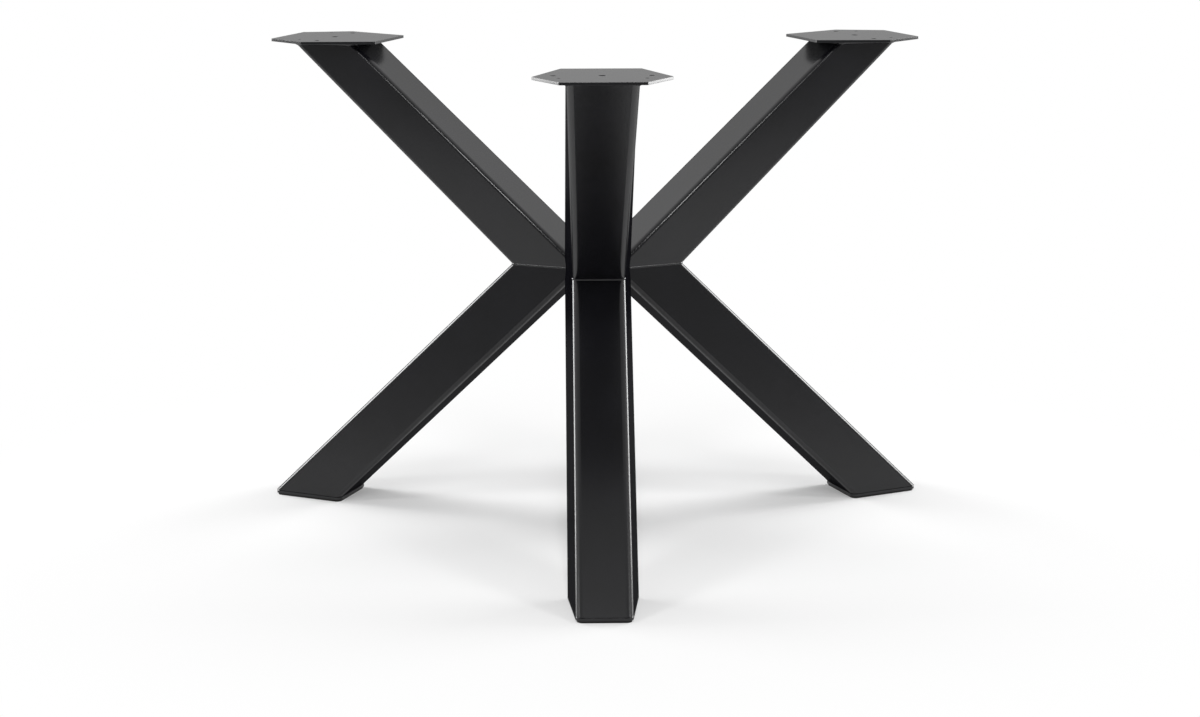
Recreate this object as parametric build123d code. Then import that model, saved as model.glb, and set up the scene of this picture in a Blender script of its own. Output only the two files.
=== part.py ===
from build123d import *
import math
import os

# Three-legged steel table base. Millimetres, +Z up, origin on the floor under the hub, front leg along -Y.
# Each leg is drawn along +X, inside its own share of the plan, and then turned to its azimuth.

# Layout of the whole base
HEIGHT = 720.0               # floor to the top of the mounting plates
SIDE_TURN = 110.0            # front leg to either side leg in plan, degrees
NOTCH_HEIGHT = 392.0         # floor to the outer corner of the mitre
RIDGE_RADIUS = 6.0           # central axis to the inner ridge of the mitre
UPPER_PITCH = 43.0           # slope of the upper arms' outer faces, degrees from level
LOWER_PITCH = 43.75          # slope of the lower arms, degrees from level

# Box section of the arms. It is a trapezoid at the hub, narrower on the outer side, where the V opens. The
# lower arm keeps it, and the upper arm changes evenly to a plain rectangle under its plate.
OUTER_WIDTH = 76.0
INNER_WIDTH = 100.0
SECTION_DEPTH = 81.0
TOP_WIDTH = 97.0
TOP_DEPTH = 68.0
WALL = 3.0
CORNER_RADIUS = 10.0         # on the slanting cuts at the mitre and the ends, so less square to the arm

# Welds
BEAD_WIDTH = 3.6             # mitre bead, across the joint
BEAD_HEIGHT = 0.8            # mitre bead, proud of the faces
FILLET_LEG = 5.0             # fillet between an upper arm and its plate
FILLET_TOE = 1.0             # sinks the lower edge of the fillet into the arm, so that it feathers out

# Mounting plate, six-sided, measured from its outer edge towards the central axis
PLATE_THICKNESS = 4.0
PLATE_OVERHANG = 30.0        # outer edge beyond the arm
PLATE_DEPTH = 170.0
PLATE_OUTER_WIDTH = 114.0
PLATE_TIP_WIDTH = 187.0
PLATE_TIP_DEPTH = 67.0       # outer edge to the line between the side tips
PLATE_INNER_WIDTH = 110.0
PLATE_CORNER_RADIUS = 3.0
SCREW_HOLE_DIAMETER = 8.0
SCREW_HOLE_SPACING = 130.0
SCREW_HOLE_DEPTH = 80.0
PILOT_HOLE_DIAMETER = 5.0
PILOT_HOLE_SPACING = 116.0
PILOT_HOLE_DEPTH = 48.0
VENT_DIAMETER = 10.0
VENT_DEPTH = 80.0

# Feet
FOOT_PLATE_THICKNESS = 5.0
FOOT_BEVEL = 1.2             # weld bevel round the upper edge of the foot plate
PAD_THICKNESS = 3.0
PAD_INSET = 2.0

# Derived places
TILT = (LOWER_PITCH - UPPER_PITCH) / 2          # the mitre rises by this towards the axis
MITRE_SLANT = (LOWER_PITCH + UPPER_PITCH) / 2   # between the mitre and either arm
MITRE_LENGTH = SECTION_DEPTH / math.sin(math.radians(MITRE_SLANT))
NOTCH_RADIUS = RIDGE_RADIUS + MITRE_LENGTH * math.cos(math.radians(TILT))
NOTCH = Vector(NOTCH_RADIUS, 0, NOTCH_HEIGHT)
ARM_TOP = HEIGHT - PLATE_THICKNESS
ARM_BOTTOM = PAD_THICKNESS + FOOT_PLATE_THICKNESS
FRONT_AZIMUTH = -90.0
REAR_TURN = 360.0 - 2 * SIDE_TURN

# Azimuth of each leg, and its share of the plan counter-clockwise and clockwise from there
LEGS = {
    "front": (FRONT_AZIMUTH, SIDE_TURN / 2, SIDE_TURN / 2),
    "right": (FRONT_AZIMUTH + SIDE_TURN, REAR_TURN / 2, SIDE_TURN / 2),
    "left": (FRONT_AZIMUTH - SIDE_TURN, SIDE_TURN / 2, REAR_TURN / 2),
}

# Slope of each arm, positive upward, height of its level end, and outer width, inner width and depth there
UPPER = (UPPER_PITCH, ARM_TOP, (TOP_WIDTH, TOP_WIDTH, TOP_DEPTH))
LOWER = (-LOWER_PITCH, ARM_BOTTOM, (OUTER_WIDTH, INNER_WIDTH, SECTION_DEPTH))


def heading(pitch):
    """Unit vector along the leg at a slope in degrees, positive upward."""
    return Vector(math.cos(math.radians(pitch)), 0, math.sin(math.radians(pitch)))


def mitre_plane():
    """Plane of the mitre from the notch inward, its x across the leg and its y towards the ridge."""
    return Plane(origin=NOTCH, x_dir=(0, 1, 0), z_dir=heading(90 - TILT))


def level_plane(pitch, level):
    """Plane of a level cut from an arm's outer edge inward, its x across the leg and its y to the axis."""
    reach = abs(level - NOTCH_HEIGHT) / math.tan(math.radians(abs(pitch)))
    return Plane(origin=(NOTCH_RADIUS + reach, 0, level), x_dir=(0, 1, 0), z_dir=(0, 0, 1))


def in_sector(shape, ahead, behind):
    """Trim a leg's piece to its share of the plan, so that it meets the neighbouring legs face to face."""
    for side, share in ((1, ahead), (-1, behind)):
        angle = math.radians(share)
        facing = Vector(math.sin(angle), -side * math.cos(angle), 0)
        shape = split(shape, bisect_by=Plane(origin=(0, 0, 0), z_dir=facing), keep=Keep.TOP)
    return shape


def trapezoid(near_width, far_width, length, along, across, radius):
    """Face from y 0 to its length, grown at both ends and at both sides, with rounded corners."""
    lean = (far_width - near_width) / 2 / length * along
    near = near_width / 2 - lean + across
    far = far_width / 2 + lean + across
    corners = [(-near, -along), (near, -along), (far, length + along), (-far, length + along)]
    face = make_face(Polyline(*corners, close=True))
    return fillet(face.vertices(), radius)


def end_outline(pitch, end, along, across, radius):
    """Outline of an arm on a level cut, grown lengthwise and crosswise."""
    outer_width, inner_width, depth = end
    length = depth / math.sin(math.radians(abs(pitch)))
    return trapezoid(outer_width, inner_width, length, along, across, radius)


def arm_stock(pitch, level, end, inset):
    """Solid bar along an arm, from the mitre to its level end, with its skin inset."""
    radius = CORNER_RADIUS - inset
    mitre_inset = inset / math.sin(math.radians(MITRE_SLANT))
    end_inset = inset / math.sin(math.radians(abs(pitch)))
    at_mitre = trapezoid(OUTER_WIDTH, INNER_WIDTH, MITRE_LENGTH, -mitre_inset, -inset, radius)
    at_end = end_outline(pitch, end, -end_inset, -inset, radius)
    return loft([mitre_plane() * at_mitre, level_plane(pitch, level) * at_end], ruled=True)


def arm(pitch, level, end):
    """Hollow box-section arm of one leg."""
    return arm_stock(pitch, level, end, 0) - arm_stock(pitch, level, end, WALL)


def mitre_weld():
    """Raised bead round the joint of the two arms of a leg."""
    outline = trapezoid(OUTER_WIDTH, INNER_WIDTH, MITRE_LENGTH, BEAD_HEIGHT, BEAD_HEIGHT, CORNER_RADIUS)
    band = extrude(mitre_plane() * outline, amount=BEAD_WIDTH / 2, both=True)
    return band - arm_stock(*UPPER, 0) - arm_stock(*LOWER, 0)


def plate_weld():
    """Fillet between an upper arm and the underside of its plate."""
    pitch, level, end = UPPER
    wide = end_outline(pitch, end, FILLET_LEG, FILLET_LEG, CORNER_RADIUS + FILLET_LEG)
    narrow = end_outline(pitch, end, -FILLET_TOE, -FILLET_TOE, CORNER_RADIUS)
    against_plate = level_plane(pitch, level) * wide
    against_arm = level_plane(pitch, level - FILLET_LEG) * narrow
    return loft([against_plate, against_arm], ruled=True) - arm_stock(*UPPER, 0)


def mounting_plate():
    """Six-sided plate on an upper arm, with screw, pilot and vent holes."""
    edge = level_plane(UPPER_PITCH, ARM_TOP).origin.X + PLATE_OVERHANG
    half_plan = [
        (edge, PLATE_OUTER_WIDTH / 2),
        (edge - PLATE_TIP_DEPTH, PLATE_TIP_WIDTH / 2),
        (edge - PLATE_DEPTH, PLATE_INNER_WIDTH / 2),
    ]
    mirrored = [(radius, -across) for radius, across in reversed(half_plan)]
    outline = make_face(Polyline(*half_plan, *mirrored, close=True))
    outline = fillet(outline.vertices(), PLATE_CORNER_RADIUS)
    screw_hole = Circle(SCREW_HOLE_DIAMETER / 2)
    pilot_hole = Circle(PILOT_HOLE_DIAMETER / 2)
    for side in (1, -1):
        outline -= Pos(edge - SCREW_HOLE_DEPTH, side * SCREW_HOLE_SPACING / 2) * screw_hole
        outline -= Pos(edge - PILOT_HOLE_DEPTH, side * PILOT_HOLE_SPACING / 2) * pilot_hole
    outline -= Pos(edge - VENT_DEPTH, 0) * Circle(VENT_DIAMETER / 2)
    return extrude(Pos(0, 0, ARM_TOP) * outline, amount=PLATE_THICKNESS)


def foot_plate():
    """Plate that closes the lower end of a leg, bevelled at the weld."""
    pitch, level, end = LOWER
    outline = level_plane(pitch, level) * end_outline(pitch, end, 0, 0, CORNER_RADIUS)
    plate = extrude(outline, amount=-FOOT_PLATE_THICKNESS)
    return chamfer(plate.faces().sort_by(Axis.Z)[-1].edges(), FOOT_BEVEL)


def foot_pad():
    """Floor protector under a foot plate."""
    pitch, level, end = LOWER
    outline = end_outline(pitch, end, -PAD_INSET, -PAD_INSET, CORNER_RADIUS - PAD_INSET)
    return extrude(Pos(0, 0, -level) * level_plane(pitch, level) * outline, amount=PAD_THICKNESS)


def largest(shape):
    """The largest solid of a shape that a trim has left in several."""
    return max(shape.solids(), key=lambda piece: piece.volume)


# The arms and the bead round their joint are trimmed leg by leg, and the rest is the same on every leg
TRIMMED = {
    "upper_arm": arm(*UPPER),
    "lower_arm": arm(*LOWER),
    "mitre_weld": mitre_weld(),
}
WHOLE = {
    "mounting_plate": mounting_plate(),
    "plate_weld": plate_weld(),
    "foot_plate": foot_plate(),
    "foot_pad": foot_pad(),
}

os.makedirs("parts", exist_ok=True)
for leg_name, (azimuth, ahead, behind) in LEGS.items():
    trimmed = {name: largest(in_sector(piece, ahead, behind)) for name, piece in TRIMMED.items()}
    for name, piece in {**trimmed, **WHOLE}.items():
        export_step(Rot(0, 0, azimuth) * piece, f"parts/{leg_name}_{name}.step")
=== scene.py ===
"""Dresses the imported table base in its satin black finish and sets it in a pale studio."""

import logging
import math
from dataclasses import dataclass, replace
from enum import Enum
from typing import Any

import bmesh
import bpy
from mathutils import Matrix, Vector


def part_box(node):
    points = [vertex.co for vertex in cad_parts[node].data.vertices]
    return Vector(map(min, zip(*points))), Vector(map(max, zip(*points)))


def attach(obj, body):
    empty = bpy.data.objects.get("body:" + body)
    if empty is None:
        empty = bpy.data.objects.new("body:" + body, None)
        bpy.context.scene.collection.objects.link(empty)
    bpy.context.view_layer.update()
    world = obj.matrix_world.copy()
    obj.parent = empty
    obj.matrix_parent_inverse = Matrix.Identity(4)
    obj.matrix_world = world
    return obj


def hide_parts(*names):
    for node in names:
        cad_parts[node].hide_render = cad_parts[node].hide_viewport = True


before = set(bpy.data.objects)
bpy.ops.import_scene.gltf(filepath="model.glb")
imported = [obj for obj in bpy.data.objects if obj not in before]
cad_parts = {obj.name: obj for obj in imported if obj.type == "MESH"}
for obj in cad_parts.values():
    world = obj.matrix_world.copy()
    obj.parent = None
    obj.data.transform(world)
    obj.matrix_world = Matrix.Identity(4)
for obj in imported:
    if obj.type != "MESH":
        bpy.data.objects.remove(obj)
log = logging.getLogger("table_base")

MM = 0.001
IMAGE_WIDTH = 1200
WHITE = "#ffffff"


def linear(hex_colour: str) -> tuple[float, float, float, float]:
    """Turn an sRGB hex colour into linear RGBA.

    Args:
        hex_colour: Colour as "#rrggbb".

    Returns:
        Linear red, green and blue, and an alpha of 1.
    """
    channels = [int(hex_colour[i : i + 2], 16) / 255 for i in (1, 3, 5)]
    red, green, blue = (
        c / 12.92 if c <= 0.04045 else ((c + 0.055) / 1.055) ** 2.4 for c in channels
    )
    return red, green, blue, 1.0


def add_node(
    tree: bpy.types.NodeTree,
    kind: str,
    inputs: dict[str | int, Any] | None = None,
    **settings: Any,
) -> bpy.types.Node:
    """Add a node, set its properties, and fill or link its inputs.

    Args:
        tree: Node tree that takes the node.
        kind: Blender's name for the type of node.
        inputs: Input name or number to a value, or to the output socket that feeds it.
        settings: Properties of the node by name.

    Returns:
        The new node.
    """
    node = tree.nodes.new(kind)
    for name, value in settings.items():
        setattr(node, name, value)
    for key, value in (inputs or {}).items():
        if isinstance(value, bpy.types.NodeSocket):
            tree.links.new(value, node.inputs[key])
        else:
            node.inputs[key].default_value = value
    return node


def empty_tree(owner: bpy.types.Material | bpy.types.World) -> bpy.types.NodeTree:
    """Turn on a material's or a world's nodes and clear them.

    Args:
        owner: Material or world that has the nodes.

    Returns:
        Its empty node tree.
    """
    owner.use_nodes = True
    owner.node_tree.nodes.clear()
    return owner.node_tree


def rounded_loop(corners: list[Vector], radius: float, steps: int) -> list[tuple[Vector, Vector]]:
    """Round the corners of a convex outline.

    Args:
        corners: Corner points in the plane, counter-clockwise.
        radius: Radius of every corner.
        steps: Chords in each corner's arc.

    Returns:
        Points of the rounded outline with their outward unit normals, counter-clockwise.
    """
    loop = []
    previous, following = corners[-1:] + corners[:-1], corners[1:] + corners[:1]
    for before, corner, after in zip(previous, corners, following):
        arriving = (corner - before).normalized()
        leaving = (after - corner).normalized()
        turn = math.atan2(arriving.cross(leaving), arriving.dot(leaving))
        inward = Vector((-arriving.y, arriving.x))
        centre = corner - arriving * radius * math.tan(turn / 2) + inward * radius
        for step in range(steps + 1):
            angle = turn * step / steps
            normal = Matrix.Rotation(angle, 2) @ -inward
            loop.append((centre + normal * radius, normal))
    return loop


class Leg(Enum):
    """The three legs: azimuth, and share of the plan left and right of it, in degrees."""

    FRONT = (-90.0, 55.0, 55.0)
    RIGHT = (20.0, 70.0, 55.0)
    LEFT = (160.0, 55.0, 70.0)

    @property
    def label(self) -> str:
        """Name that starts the leg's nodes and pieces."""
        return self.name.lower()

    @property
    def turn(self) -> Matrix:
        """Matrix from the leg's own millimetres, drawn along +X, to the frame's metres."""
        return Matrix.Rotation(math.radians(self.value[0]), 4, "Z") @ Matrix.Scale(MM, 4)

    def border(self, side: int) -> Vector:
        """Normal, facing into the leg, of the plane where it meets its neighbour on one side."""
        angle = math.radians(self.value[1] if side > 0 else self.value[2])
        return Vector((math.sin(angle), -side * math.cos(angle), 0))


@dataclass(frozen=True)
class PowderCoat:
    """Satin black polyester powder, sprayed on blasted steel and baked.

    It gives the eye a near-black skin with a soft even sheen that is bright only along the rounded
    corners, a faint orange peel, and a little cloudiness where the spray lay thicker.
    """

    name: str = "satin_black_powder_coat"
    colour: str = "#09090c"
    cloud_colour: str = "#0f0f13"
    roughness: float = 0.55         # of the pigment
    roughness_spread: float = 0.10
    skin_share: float = 1.0         # of the surface that shows the smooth resin skin
    skin_share_aslant: float = 0.04  # the same at a low angle, where the matting grains hide it
    slant: tuple[float, float] = (0.50, 0.86)   # Layer Weight's Facing from one share to the other
    skin_roughness: float = 0.23
    skin_ior: float = 1.50
    peel_mm: float = 5.0            # the real peel is about 2 mm wide, drawn coarser to show
    peel_height_mm: float = 0.004
    cloud_mm: float = 80.0
    cloud_range: tuple[float, float] = (0.3, 0.7)   # noise values from thin powder to thick

    def material(self) -> bpy.types.Material:
        """Make the coat's node material."""
        material = bpy.data.materials.new(self.name)
        tree = empty_tree(material)
        place = add_node(tree, "ShaderNodeTexCoord").outputs["Object"]
        cloud = add_node(
            tree,
            "ShaderNodeTexNoise",
            {"Vector": place, "Scale": 1 / (self.cloud_mm * MM), "Detail": 2.0},
        )
        colour = add_node(tree, "ShaderNodeValToRGB", {"Fac": cloud.outputs["Fac"]})
        thin, thick = colour.color_ramp.elements
        thin.position, thick.position = self.cloud_range
        thin.color, thick.color = linear(self.colour), linear(self.cloud_colour)
        gloss = add_node(
            tree,
            "ShaderNodeMapRange",
            {
                "Value": cloud.outputs["Fac"],
                "From Min": self.cloud_range[0],
                "From Max": self.cloud_range[1],
                "To Min": self.roughness - self.roughness_spread / 2,
                "To Max": self.roughness + self.roughness_spread / 2,
            },
        )
        peel = add_node(
            tree,
            "ShaderNodeTexNoise",
            {"Vector": place, "Scale": 1 / (self.peel_mm * MM), "Detail": 1.0},
        )
        bump = add_node(
            tree,
            "ShaderNodeBump",
            {"Height": peel.outputs["Fac"], "Distance": self.peel_height_mm * MM},
        )
        facing = add_node(tree, "ShaderNodeLayerWeight", {"Blend": 0.5}).outputs["Facing"]
        skin = add_node(
            tree,
            "ShaderNodeMapRange",
            {
                "Value": facing,
                "From Min": self.slant[0],
                "From Max": self.slant[1],
                "To Min": self.skin_share,
                "To Max": self.skin_share_aslant,
            },
            interpolation_type="SMOOTHSTEP",
        )
        shader = add_node(
            tree,
            "ShaderNodeBsdfPrincipled",
            {
                "Base Color": colour.outputs["Color"],
                "Roughness": gloss.outputs["Result"],
                "Normal": bump.outputs["Normal"],
                "Specular IOR Level": 0.0,
                "Coat Weight": skin.outputs["Result"],
                "Coat Roughness": self.skin_roughness,
                "Coat IOR": self.skin_ior,
                "Coat Normal": bump.outputs["Normal"],
            },
        )
        add_node(tree, "ShaderNodeOutputMaterial", {"Surface": shader.outputs["BSDF"]})
        return material


@dataclass(frozen=True)
class MouldedRubber:
    """Black rubber sheet, moulded with a fine pebble grain and stamped to the foot's outline.

    It gives the eye a dull, slightly warm black with no clear highlight.
    """

    name: str = "moulded_black_rubber"
    colour: str = "#161514"
    dust_colour: str = "#23211f"
    roughness: float = 0.82
    ior: float = 1.52
    grain_mm: float = 1.6           # the real grain is about 0.5 mm, drawn coarser to show
    grain_height_mm: float = 0.08
    grain_range: tuple[float, float] = (0.2, 0.9)   # Voronoi distances from pebble to groove

    def material(self) -> bpy.types.Material:
        """Make the rubber's node material."""
        material = bpy.data.materials.new(self.name)
        tree = empty_tree(material)
        place = add_node(tree, "ShaderNodeTexCoord").outputs["Object"]
        grain = add_node(
            tree,
            "ShaderNodeTexVoronoi",
            {"Vector": place, "Scale": 1 / (self.grain_mm * MM)},
            feature="SMOOTH_F1",
        )
        colour = add_node(tree, "ShaderNodeValToRGB", {"Fac": grain.outputs["Distance"]})
        pebble, groove = colour.color_ramp.elements
        pebble.position, groove.position = self.grain_range
        pebble.color, groove.color = linear(self.colour), linear(self.dust_colour)
        bump = add_node(
            tree,
            "ShaderNodeBump",
            {"Height": grain.outputs["Distance"], "Distance": self.grain_height_mm * MM},
            invert=True,
        )
        shader = add_node(
            tree,
            "ShaderNodeBsdfPrincipled",
            {
                "Base Color": colour.outputs["Color"],
                "Normal": bump.outputs["Normal"],
                "Roughness": self.roughness,
                "IOR": self.ior,
            },
        )
        add_node(tree, "ShaderNodeOutputMaterial", {"Surface": shader.outputs["BSDF"]})
        return material


@dataclass(frozen=True)
class LegShape:
    """Layout of one leg in its own millimetres, drawn along +X with the floor at zero height."""

    outer_width: float = 76.0       # arm's face on the side where the V opens, at the hub
    inner_width: float = 100.0
    hub_depth: float = 81.0
    top_width: float = 97.0         # of the upper arm under its plate
    top_depth: float = 68.0
    corner_radius: float = 10.0     # on the slanting cuts
    corner_steps: int = 10
    notch_height: float = 392.0
    ridge_radius: float = 6.0       # central axis to the inner ridge of the mitre
    upper_pitch: float = 43.0       # degrees from level
    lower_pitch: float = 43.75

    @property
    def half_angle(self) -> float:
        """Angle between an arm and the mitre, in radians."""
        return math.radians((self.upper_pitch + self.lower_pitch) / 2)

    @property
    def tilt(self) -> float:
        """Rise of the mitre towards the axis, in radians."""
        return math.radians((self.lower_pitch - self.upper_pitch) / 2)

    @property
    def mitre_length(self) -> float:
        """Notch to ridge."""
        return self.hub_depth / math.sin(self.half_angle)

    @property
    def notch(self) -> Vector:
        """Outer corner of the mitre, in the leg's middle plane."""
        reach = self.ridge_radius + self.mitre_length * math.cos(self.tilt)
        return Vector((reach, 0, self.notch_height))

    def cut(
        self,
        outer_width: float,
        inner_width: float,
        length: float,
    ) -> list[tuple[Vector, Vector]]:
        """Draw an arm's outline on a slanting cut.

        Args:
            outer_width: Width on the side where the V opens.
            inner_width: Width on the other side.
            length: Outer edge to inner edge along the cut.

        Returns:
            Points and normals round the cut, as distance outward and distance across.
        """
        corners = [
            Vector((0, -outer_width / 2)),
            Vector((0, outer_width / 2)),
            Vector((-length, inner_width / 2)),
            Vector((-length, -inner_width / 2)),
        ]
        return rounded_loop(corners, self.corner_radius, self.corner_steps)


@dataclass(frozen=True)
class SeamPoint:
    """One place along a welded joint, in the leg's millimetres."""

    root: Vector                    # corner of the joint
    first: Vector                   # unit vector away from the root along one metal face
    second: Vector                  # the same along the other face

    def towards(self, other: "SeamPoint", share: float) -> "SeamPoint":
        """Place part of the way to another seam point."""
        return SeamPoint(
            self.root.lerp(other.root, share),
            self.first.lerp(other.first, share).normalized(),
            self.second.lerp(other.second, share).normalized(),
        )


@dataclass(frozen=True)
class WeldBead:
    """Shape of a hand-laid weld, whose overlapping pools leave crescent ripples, in millimetres."""

    first_leg: float                # root to toe along the first face
    second_leg: float
    crown: float                    # bulge over the line from toe to toe, where the faces run on
    corner_crown: float             # the same in a corner
    ripple: float = 0.22
    pitch: float = 3.0              # a little coarser than the usual 2 mm, so that it shows
    drift: float = 0.3              # pools early or late, as a share of the pitch
    drift_run: float = 1.7          # pitches welded for each radian of that drift
    crescent: float = 0.7           # how far a ripple's middle trails its ends, in pitches
    spacing: float = 0.5            # between rings
    across: int = 7                 # faces from toe to toe
    root_sink: float = 0.3          # how far the root lies in the metal, so that no gap shows
    toe_sink: float = 0.15          # the same for the toes

    def rings(self, seam: list[SeamPoint]) -> list[list[Vector]]:
        """Cross-sections of the bead along a seam.

        Args:
            seam: Places along the joint, in order.

        Returns:
            One ring of points for each step of the spacing, the root last in each.
        """
        lengths = [(b.root - a.root).length for a, b in zip(seam, seam[1:])]
        total = sum(lengths)
        count = max(2, round(total / self.spacing))
        rings = []
        index, walked = 0, 0.0
        for step in range(count + 1):
            run = total * step / count
            while index < len(lengths) - 1 and run > walked + lengths[index]:
                walked += lengths[index]
                index += 1
            share = (run - walked) / lengths[index] if lengths[index] else 0.0
            rings.append(self.ring(seam[index].towards(seam[index + 1], share), run))
        return rings

    def ring(self, place: SeamPoint, run: float) -> list[Vector]:
        """Points of the bead's cross-section at one place.

        Args:
            place: Where on the joint.
            run: Length welded so far, which sets the ripple.

        Returns:
            Points from the first toe over the crown to the second toe, and then the root.
        """
        out = (place.first + place.second).normalized()
        toe = place.root + place.first * self.first_leg
        other_toe = place.root + place.second * self.second_leg
        openness = max(0.0, -place.first.dot(place.second))
        crown = self.corner_crown + (self.crown - self.corner_crown) * openness
        uneven = run / self.pitch + self.drift * math.sin(run / (self.drift_run * self.pitch))
        points = []
        for step in range(self.across + 1):
            share = step / self.across
            hump = 4 * share * (1 - share)
            phase = (uneven - self.crescent * hump) % 1.0
            pool = 1 - (2 * phase - 1) ** 2
            lift = hump * (crown + self.ripple * pool) - self.toe_sink * (1 - hump)
            points.append(toe.lerp(other_toe, share) + out * lift)
        points.append(place.root - out * self.root_sink)
        return points


def skin_mesh(
    name: str,
    rings: list[list[Vector]],
    closed: bool,
    turn: Matrix,
    sharp_angle: float = 50.0,
) -> bpy.types.Mesh:
    """Skin a row of rings into a mesh.

    Args:
        name: Name of the mesh.
        rings: Rings with the same number of points each.
        closed: Whether the last ring joins the first, instead of both being capped.
        turn: Matrix from the rings' millimetres to the frame's metres.
        sharp_angle: Degrees between faces from which their edge stays sharp.

    Returns:
        A closed mesh with smooth faces and sharp ends.
    """
    work = bmesh.new()
    rows = [[work.verts.new(turn @ point) for point in ring] for ring in rings]
    for row, following in zip(rows, rows[1:] + rows[:1] if closed else rows[1:]):
        for a, b, c, d in zip(row, row[1:] + row[:1], following[1:] + following[:1], following):
            work.faces.new((a, b, c, d))
    if not closed:
        work.faces.new(rows[0])
        work.faces.new(rows[-1])
    bmesh.ops.recalc_face_normals(work, faces=work.faces)
    mesh = bpy.data.meshes.new(name)
    work.to_mesh(mesh)
    work.free()
    mesh.shade_smooth()
    mesh.set_sharp_from_angle(angle=math.radians(sharp_angle))
    return mesh


def add_piece(mesh: bpy.types.Mesh, node: str, finish: bpy.types.Material) -> bpy.types.Object:
    """Put a finer piece in the place of a CAD node.

    Args:
        mesh: The piece's mesh in the frame's metres.
        node: CAD node that it stands for.
        finish: Material of the piece.

    Returns:
        The new object.
    """
    piece = bpy.data.objects.new(mesh.name, mesh)
    bpy.context.scene.collection.objects.link(piece)
    mesh.materials.append(finish)
    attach(piece, "root")
    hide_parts(node)
    log.info("%s stands for %s", piece.name, node)
    return piece


def dress_node(node: str, finish: bpy.types.Material) -> None:
    """Give a carried-over CAD node its finish.

    Args:
        node: Name of the CAD node.
        finish: Material for all its slots.
    """
    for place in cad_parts[node].material_slots:
        place.material = finish
    log.info("%s dressed in %s", node, finish.name)


@dataclass(frozen=True)
class Arms:
    """Upper and lower arm of a leg and the plate that closes its foot, kept as the CAD has them."""

    pieces: tuple[str, ...] = ("upper_arm", "lower_arm", "foot_plate")

    def dress(self, leg: Leg, coat: bpy.types.Material) -> None:
        """Coat the arms of a leg."""
        for piece in self.pieces:
            dress_node(f"{leg.label}_{piece}", coat)


@dataclass(frozen=True)
class FootPad:
    """Thin floor protector under a foot plate, kept as the CAD has it."""

    def dress(self, leg: Leg, rubber: bpy.types.Material) -> None:
        """Give the pad of a leg its rubber."""
        dress_node(f"{leg.label}_foot_pad", rubber)


@dataclass(frozen=True)
class MitreWeld:
    """Bead round the joint of the two arms, from one neighbouring leg to the other."""

    shape: LegShape = LegShape()
    bead: WeldBead = WeldBead(1.8, 1.8, crown=0.7, corner_crown=0.0, ripple=0.06)

    def seam(self, leg: Leg) -> list[SeamPoint]:
        """Places along a leg's joint, cut off where the neighbouring legs begin."""
        shape = self.shape
        outward = Vector((math.cos(shape.tilt), 0, -math.sin(shape.tilt)))
        upward = Vector((math.sin(shape.tilt), 0, math.cos(shape.tilt)))
        along = outward * math.cos(shape.half_angle)
        rise = upward * math.sin(shape.half_angle)
        places = []
        outline = shape.cut(shape.outer_width, shape.inner_width, shape.mitre_length)
        for point, normal in outline:
            root = shape.notch + outward * point.x + Vector((0, point.y, 0))
            run = Vector((0, normal.x, 0)) - outward * normal.y
            level = along - run * along.dot(run)
            up, down = (level + rise).normalized(), (level - rise).normalized()
            places.append(SeamPoint(root, up, down))
        steps = shape.corner_steps + 1
        inner_start, inner_end = places[-1], places[2 * steps]
        outer = places[: 2 * steps]
        start = self.stop(outer[0], inner_start, leg.border(-1))
        end = self.stop(outer[-1], inner_end, leg.border(1))
        return [start, *outer, end]

    def stop(self, outer: SeamPoint, inner: SeamPoint, facing: Vector) -> SeamPoint:
        """Place on a straight run of the seam where the neighbouring leg begins."""
        clear, past = facing.dot(outer.root), facing.dot(inner.root)
        return outer.towards(inner, clear / (clear - past))

    def build(self, leg: Leg, coat: bpy.types.Material) -> bpy.types.Object:
        """Build and coat the bead of a leg.

        Args:
            leg: Which leg.
            coat: Material of the bead.

        Returns:
            The bead's object.
        """
        rings = self.bead.rings(self.seam(leg))
        for ring, beside, side in ((rings[0], rings[1], -1), (rings[-1], rings[-2], 1)):
            facing = leg.border(side)
            for index, (point, inside) in enumerate(zip(ring, beside)):
                along = point - inside
                ring[index] = point - along * facing.dot(point) / facing.dot(along)
        node = f"{leg.label}_mitre_weld"
        mesh = skin_mesh(f"{node}_bead", rings, False, leg.turn)
        return add_piece(mesh, node, coat)


@dataclass(frozen=True)
class PlateWeld:
    """Fillet weld between an upper arm and the underside of its mounting plate."""

    shape: LegShape = LegShape()
    bead: WeldBead = WeldBead(5.0, 5.6, crown=0.35, corner_crown=0.35)

    def seam(self, level: float) -> list[SeamPoint]:
        """Places round the arm's level cut.

        Args:
            level: Height of the plate's underside in millimetres.

        Returns:
            The joint as a closed run, its first place repeated at the end.
        """
        shape = self.shape
        pitch = math.radians(shape.upper_pitch)
        edge = shape.notch.x + (level - shape.notch_height) / math.tan(pitch)
        down = Vector((-math.cos(pitch), 0, -math.sin(pitch)))
        places = []
        outline = shape.cut(shape.top_width, shape.top_width, shape.top_depth / math.sin(pitch))
        for point, normal in outline:
            root = Vector((edge + point.x, point.y, level))
            run = Vector((-normal.y, normal.x, 0))
            along_arm = (down - run * down.dot(run)).normalized()
            places.append(SeamPoint(root, normal.to_3d(), along_arm))
        return places + places[:1]

    def build(self, leg: Leg, coat: bpy.types.Material) -> bpy.types.Object:
        """Build and coat the fillet of a leg.

        Args:
            leg: Which leg.
            coat: Material of the fillet.

        Returns:
            The fillet's object.
        """
        underside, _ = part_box(f"{leg.label}_mounting_plate")
        rings = self.bead.rings(self.seam(underside.z / MM))[:-1]
        node = f"{leg.label}_plate_weld"
        mesh = skin_mesh(f"{node}_bead", rings, True, leg.turn)
        return add_piece(mesh, node, coat)


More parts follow.
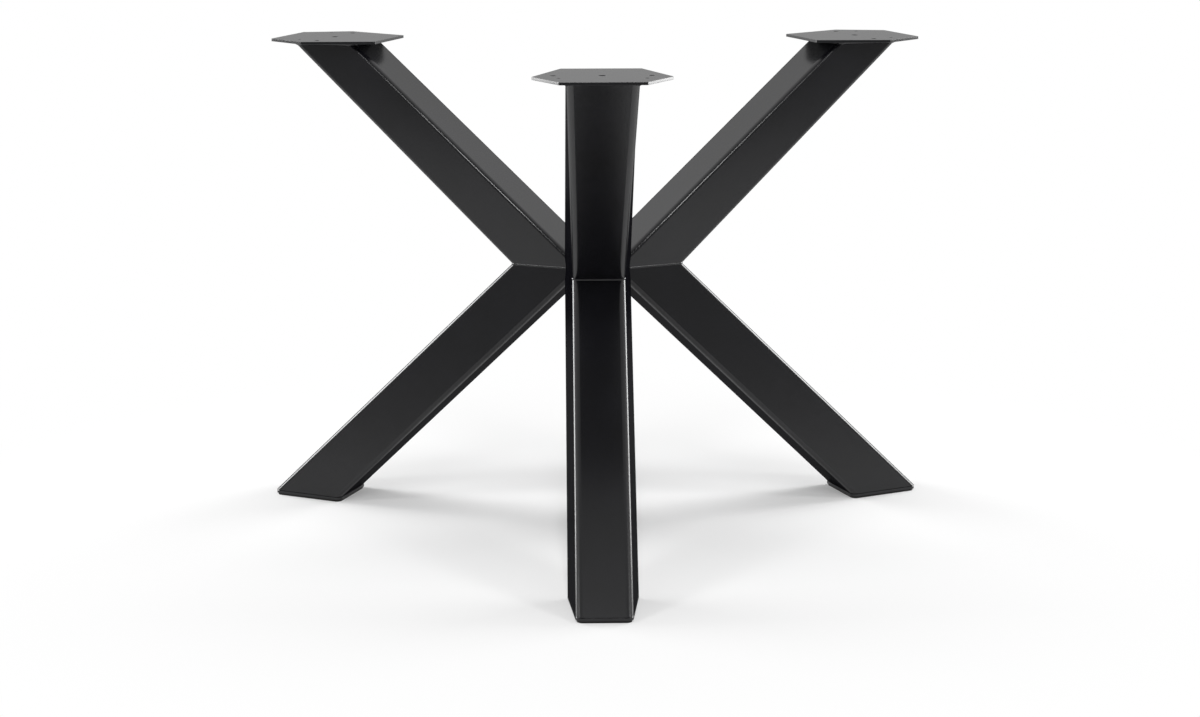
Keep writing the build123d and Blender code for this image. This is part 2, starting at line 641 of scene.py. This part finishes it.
@dataclass(frozen=True)
class MountingPlate:
    """Six-sided laser-cut plate with its holes, its rims rounded by the coat, in millimetres."""

    depth: float = 170.0            # outer edge to inner edge
    outer_width: float = 114.0
    tip_width: float = 187.0
    tip_depth: float = 67.0         # outer edge to the line between the side tips
    inner_width: float = 110.0
    corner_radius: float = 3.0
    corner_steps: int = 6
    rim: float = 0.4
    rim_steps: int = 2
    sharp_angle: float = 40.0       # degrees
    screw_hole: tuple[float, float, float] = (8.0, 130.0, 80.0)     # diameter, spacing, inset
    pilot_hole: tuple[float, float, float] = (5.0, 116.0, 48.0)
    vent: tuple[float, float] = (10.0, 80.0)                        # diameter, inset
    hole_steps: int = 32

    def outlines(self, edge: float) -> list[list[Vector]]:
        """Outline of the plate and of its holes.

        Args:
            edge: Central axis to the outer edge.

        Returns:
            The plate's outline, counter-clockwise, and the holes', clockwise.
        """
        right = [
            Vector((edge - self.depth, -self.inner_width / 2)),
            Vector((edge - self.tip_depth, -self.tip_width / 2)),
            Vector((edge, -self.outer_width / 2)),
        ]
        left = [Vector((corner.x, -corner.y)) for corner in reversed(right)]
        rounded = rounded_loop(right + left, self.corner_radius, self.corner_steps)
        loops = [[point for point, _ in rounded]]
        holes = [(self.vent[0], edge - self.vent[1], 0.0)]
        for diameter, spacing, inset in (self.screw_hole, self.pilot_hole):
            holes += [(diameter, edge - inset, side * spacing / 2) for side in (1, -1)]
        for diameter, along, across in holes:
            angles = [-math.tau * step / self.hole_steps for step in range(self.hole_steps)]
            ring = [Vector((math.cos(a), math.sin(a))) * diameter / 2 for a in angles]
            loops.append([Vector((along, across)) + point for point in ring])
        return loops

    def build(self, leg: Leg, coat: bpy.types.Material) -> bpy.types.Object:
        """Build and coat the plate of a leg, as far out and as thick as the front leg's CAD plate.

        Args:
            leg: Which leg.
            coat: Material of the plate.

        Returns:
            The plate's object.
        """
        low, high = (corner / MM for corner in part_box(f"{Leg.FRONT.label}_mounting_plate"))
        node = f"{leg.label}_mounting_plate"
        curve = bpy.data.curves.new(f"{node}_outline", "CURVE")
        curve.dimensions = "2D"
        curve.fill_mode = "BOTH"
        curve.extrude = (high.z - low.z) / 2 - self.rim
        curve.bevel_depth = self.rim
        curve.bevel_resolution = self.rim_steps
        curve.offset = -self.rim
        for loop in self.outlines(-low.y):
            spline = curve.splines.new("POLY")
            spline.points.add(len(loop) - 1)
            spline.use_cyclic_u = True
            for place, point in zip(spline.points, loop):
                place.co = (point.x, point.y, 0, 1)
        drawn = bpy.data.objects.new(curve.name, curve)
        bpy.context.scene.collection.objects.link(drawn)
        bpy.context.view_layer.update()
        finished = drawn.evaluated_get(bpy.context.evaluated_depsgraph_get())
        mesh = bpy.data.meshes.new_from_object(finished)
        bpy.data.objects.remove(drawn)
        bpy.data.curves.remove(curve)
        mesh.name = f"{node}_rounded"
        mesh.transform(leg.turn @ Matrix.Translation((0, 0, (low.z + high.z) / 2)))
        mesh.materials.clear()
        mesh.shade_smooth()
        mesh.set_sharp_from_angle(angle=math.radians(self.sharp_angle))
        piece = add_piece(mesh, node, coat)
        piece.modifiers.new("flat_faces", "WEIGHTED_NORMAL").keep_sharp = True
        return piece


@dataclass(frozen=True)
class Softbox:
    """Rectangular studio lamp behind a diffuser, in metres."""

    label: str
    place: tuple[float, float, float]
    aim: tuple[float, float, float]
    width: float
    height: float
    brightness: float               # of the diffuser, where 1 is the white of the background
    lean: tuple[float, float, float] = (0.0, 0.0, 1.0)  # way that the lamp's height runs

    def mirrored(self) -> "Softbox":
        """The lamp's twin on the left."""
        flip = Vector((-1, 1, 1))
        place, aim, lean = (tuple(flip * Vector(way)) for way in (self.place, self.aim, self.lean))
        label = self.label.replace("right", "left")
        return replace(self, label=label, place=place, aim=aim, lean=lean)

    def hang(self) -> bpy.types.Object:
        """Make the lamp, turned towards its aim."""
        data = bpy.data.lights.new(self.label, "AREA")
        data.shape = "RECTANGLE"
        data.size, data.size_y = self.width, self.height
        data.energy = self.brightness * math.pi * self.width * self.height
        lamp = bpy.data.objects.new(self.label, data)
        back = (Vector(self.place) - Vector(self.aim)).normalized()
        across = Vector(self.lean).cross(back).normalized()
        turned = Matrix((across, back.cross(across), back)).transposed().to_4x4()
        lamp.matrix_world = Matrix.Translation(self.place) @ turned
        lamp.visible_camera = False
        bpy.context.scene.collection.objects.link(lamp)
        log.info("lamp %s", self.label)
        return lamp


@dataclass(frozen=True)
class Studio:
    """Pale floor that runs out into white, soft lamps, and the camera of the product picture."""

    fill: float = 0.33              # light of the room
    backdrop_turn: tuple[float, float] = (-0.5, 0.3)    # y of a direction, from room to backdrop
    floor_colour: str = "#f6f6f6"
    floor_radius: float = 12.0
    floor_segments: int = 96
    floor_turn: tuple[float, float] = (-0.6, 0.3)       # y of a place, from plain floor to backdrop
    fade: tuple[float, float] = (0.2, 1.1)  # radius where the floor starts to turn white, and ends
    rim: Softbox = Softbox(         # gives the front leg the bright lines on its corners
        "right_rim",
        place=(1.94, 1.02, 0.93),
        aim=(0.04, -0.32, 0.2),
        width=1.1,
        height=1.0,
        brightness=10.0,
        lean=(0.0, 0.722, 0.691),
    )
    front_strip: Softbox = Softbox(
        "front_strip",
        place=(0.0, -1.85, 1.95),
        aim=(0.0, 0.1, 0.55),
        width=0.3,
        height=0.8,
        brightness=20.0,
    )
    side_strip: Softbox = Softbox(  # stands where the side legs' mitre beads mirror it
        "right_front_strip",
        place=(1.84, -1.15, 1.95),
        aim=(0.1, 0.1, 0.4),
        width=0.5,
        height=0.7,
        brightness=10.0,
    )
    camera_place: tuple[float, float, float] = (-0.0654, -3.8802, 1.0908)
    camera_yaw: float = -1.064      # degrees
    camera_pitch: float = -12.254
    camera_roll: float = -0.097
    focal_pixels: float = 2631.8
    aside_pixels: float = 2.0       # picture's optical centre, right of its middle
    view_depth: float = 100.0

    def sight(
        self,
        tree: bpy.types.NodeTree,
        place: bpy.types.NodeSocket,
        start: float,
        end: float,
    ) -> bpy.types.NodeSocket:
        """Share of the white backdrop in what a ray sees.

        The camera sees it all round. Gloss and glass show it behind the base, where it hangs, and
        the room's own light in front.

        Args:
            tree: Node tree that takes the nodes.
            place: Position or direction, whose y runs backward.
            start: Value of y where the backdrop begins.
            end: Value of y from which there is only backdrop.

        Returns:
            Socket with the share.
        """
        path = add_node(tree, "ShaderNodeLightPath")
        mirrored = add_node(
            tree,
            "ShaderNodeMath",
            {0: path.outputs["Is Glossy Ray"], 1: path.outputs["Is Transmission Ray"]},
            operation="MAXIMUM",
        )
        split = add_node(tree, "ShaderNodeSeparateXYZ", {"Vector": place})
        behind = add_node(
            tree,
            "ShaderNodeMapRange",
            {"Value": split.outputs["Y"], "From Min": start, "From Max": end},
            interpolation_type="SMOOTHSTEP",
        )
        shown = add_node(
            tree,
            "ShaderNodeMath",
            {0: mirrored.outputs["Value"], 1: behind.outputs["Result"]},
            operation="MULTIPLY",
        )
        return add_node(
            tree,
            "ShaderNodeMath",
            {0: path.outputs["Is Camera Ray"], 1: shown.outputs["Value"]},
            operation="MAXIMUM",
        ).outputs["Value"]

    def walls(self) -> None:
        """Light the world evenly, white where it is seen."""
        world = bpy.data.worlds.new("white_studio")
        tree = empty_tree(world)
        direction = add_node(tree, "ShaderNodeTexCoord").outputs["Generated"]
        level = add_node(
            tree,
            "ShaderNodeMapRange",
            {
                "Value": self.sight(tree, direction, *self.backdrop_turn),
                "To Min": self.fill,
                "To Max": 1.0,
            },
        )
        light = add_node(
            tree,
            "ShaderNodeBackground",
            {"Color": linear(WHITE), "Strength": level.outputs["Result"]},
        )
        add_node(tree, "ShaderNodeOutputWorld", {"Surface": light.outputs["Background"]})
        bpy.context.scene.world = world

    def floor(self) -> None:
        """Lay the floor, which keeps the shadows near the base and runs out into white."""
        material = bpy.data.materials.new("matt_white_floor")
        tree = empty_tree(material)
        place = add_node(tree, "ShaderNodeTexCoord").outputs["Object"]
        reach = add_node(tree, "ShaderNodeVectorMath", {0: place}, operation="LENGTH")
        fade = add_node(
            tree,
            "ShaderNodeMapRange",
            {
                "Value": reach.outputs["Value"],
                "From Min": self.fade[0],
                "From Max": self.fade[1],
            },
            interpolation_type="SMOOTHSTEP",
        )
        share = add_node(
            tree,
            "ShaderNodeMath",
            {0: fade.outputs["Result"], 1: self.sight(tree, place, *self.floor_turn)},
            operation="MULTIPLY",
        )
        matt = add_node(tree, "ShaderNodeBsdfDiffuse", {"Color": linear(self.floor_colour)})
        white = add_node(tree, "ShaderNodeEmission", {"Color": linear(WHITE), "Strength": 1.0})
        both = add_node(
            tree,
            "ShaderNodeMixShader",
            {0: share.outputs["Value"], 1: matt.outputs["BSDF"], 2: white.outputs["Emission"]},
        )
        add_node(tree, "ShaderNodeOutputMaterial", {"Surface": both.outputs["Shader"]})
        work = bmesh.new()
        bmesh.ops.create_circle(
            work,
            cap_ends=True,
            segments=self.floor_segments,
            radius=self.floor_radius,
        )
        mesh = bpy.data.meshes.new("studio_floor")
        work.to_mesh(mesh)
        work.free()
        mesh.materials.append(material)
        floor = bpy.data.objects.new("studio_floor", mesh)
        bpy.context.scene.collection.objects.link(floor)

    def camera(self) -> None:
        """Set the camera where the product picture was taken."""
        data = bpy.data.cameras.new("picture_camera")
        data.sensor_fit = "HORIZONTAL"
        data.lens = data.sensor_width * self.focal_pixels / IMAGE_WIDTH
        data.shift_x = -self.aside_pixels / IMAGE_WIDTH
        data.clip_end = self.view_depth
        camera = bpy.data.objects.new("picture_camera", data)
        yaw = Matrix.Rotation(math.radians(self.camera_yaw), 4, "Z")
        pitch = Matrix.Rotation(math.radians(90 + self.camera_pitch), 4, "X")
        roll = Matrix.Rotation(math.radians(self.camera_roll), 4, "Z")
        camera.matrix_world = Matrix.Translation(self.camera_place) @ (yaw @ pitch @ roll)
        bpy.context.scene.collection.objects.link(camera)
        bpy.context.scene.camera = camera

    def set_up(self) -> None:
        """Build the whole studio."""
        bpy.context.scene.view_settings.view_transform = "Standard"
        self.walls()
        self.floor()
        for lamp in (
            self.rim,
            self.rim.mirrored(),
            self.front_strip,
            self.side_strip,
            self.side_strip.mirrored(),
        ):
            lamp.hang()
        self.camera()


def main() -> None:
    logging.basicConfig(level=logging.INFO, format="%(name)s: %(message)s")
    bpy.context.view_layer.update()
    coat = PowderCoat().material()
    # On the level plates the powder flows out smoother, so it keeps some gloss at a low angle
    flat_coat = PowderCoat(
        name="satin_black_powder_coat_laid_flat",
        skin_share_aslant=0.5,
        skin_roughness=0.20,
    ).material()
    rubber = MouldedRubber().material()
    Studio().set_up()
    for leg in Leg:
        Arms().dress(leg, coat)
        FootPad().dress(leg, rubber)
        MitreWeld().build(leg, coat)
        PlateWeld().build(leg, coat)
        MountingPlate().build(leg, flat_coat)
    bpy.context.view_layer.update()


if __name__ == "__main__":
    main()
